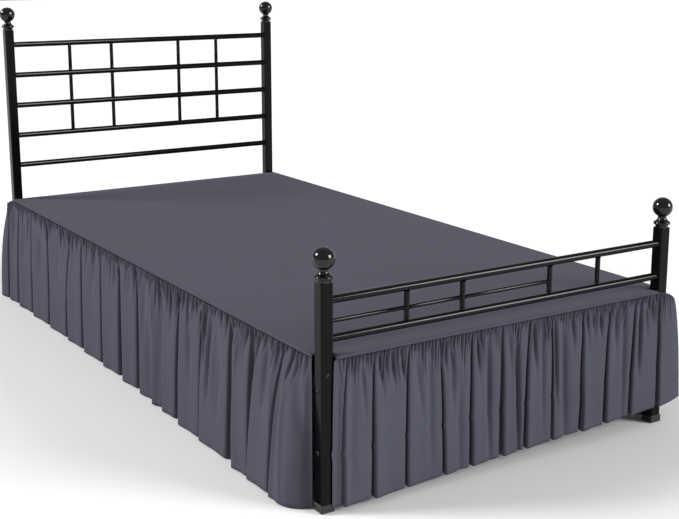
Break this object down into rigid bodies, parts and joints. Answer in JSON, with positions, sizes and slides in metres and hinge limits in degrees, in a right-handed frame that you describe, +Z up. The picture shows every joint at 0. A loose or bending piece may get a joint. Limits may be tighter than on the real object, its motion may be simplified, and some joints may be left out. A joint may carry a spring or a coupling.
{
  "type": "bed skirt on a metal bed",
  "caption": "Gathered cloth skirt with a flat deck panel, dressed over a metal bed with a railed headboard, a low footboard and ball finials.",
  "frame": {"origin": "centre of the bounding box, at the floor", "axes": "+Z up, +Y toward the headboard, the footboard at -Y"},
  "size_m": [1.1757, 2.1786, 1.033],
  "materials": {
    "black_metal": "smooth black powder coat",
    "glide": "matte",
    "cloth": "brushed plain weave"
  },
  "bodies": {
    "root": {"post_foot_left": "black_metal", "post_foot_right": "black_metal", "post_head_left": "black_metal", "post_head_right": "black_metal", "finial_foot_left": "black_metal", "finial_foot_right": "black_metal", "finial_head_left": "black_metal", "finial_head_right": "black_metal", "head_rail_1": "black_metal", "head_rail_2": "black_metal", "head_rail_3": "black_metal", "head_rail_4": "black_metal", "head_rail_5": "black_metal", "head_spindle_1_1": "black_metal", "head_spindle_1_2": "black_metal", "head_spindle_1_3": "black_metal", "head_spindle_1_4": "black_metal", "head_spindle_2_1": "black_metal", "head_spindle_2_2": "black_metal", "head_spindle_2_3": "black_metal", "head_spindle_2_4": "black_metal", "head_spindle_3_1": "black_metal", "head_spindle_3_2": "black_metal", "head_spindle_3_3": "black_metal", "head_spindle_3_4": "black_metal", "foot_rail_upper": "black_metal", "foot_rail_lower": "black_metal", "foot_spindle_1": "black_metal", "foot_spindle_2": "black_metal", "foot_spindle_3": "black_metal", "foot_spindle_4": "black_metal", "foot_thin_rail_1": "black_metal", "foot_thin_rail_2": "black_metal", "foot_thin_rail_3": "black_metal", "side_rail_left": "black_metal", "side_rail_right": "black_metal", "cross_rail_foot": "black_metal", "cross_rail_head": "black_metal", "centre_rail": "black_metal", "slat_1": "black_metal", "slat_2": "black_metal", "slat_3": "black_metal", "slat_4": "black_metal", "slat_5": "black_metal", "slat_6": "black_metal", "slat_7": "black_metal", "slat_8": "black_metal", "slat_9": "black_metal", "slat_10": "black_metal", "slat_11": "black_metal", "glide_foot_left": "glide", "glide_foot_right": "glide", "glide_head_left": "glide", "glide_head_right": "glide", "skirt_deck": "cloth", "skirt_left_ruffle": "cloth", "skirt_right_ruffle": "cloth", "skirt_foot_ruffle": "cloth"}
  },
  "joints": []
}
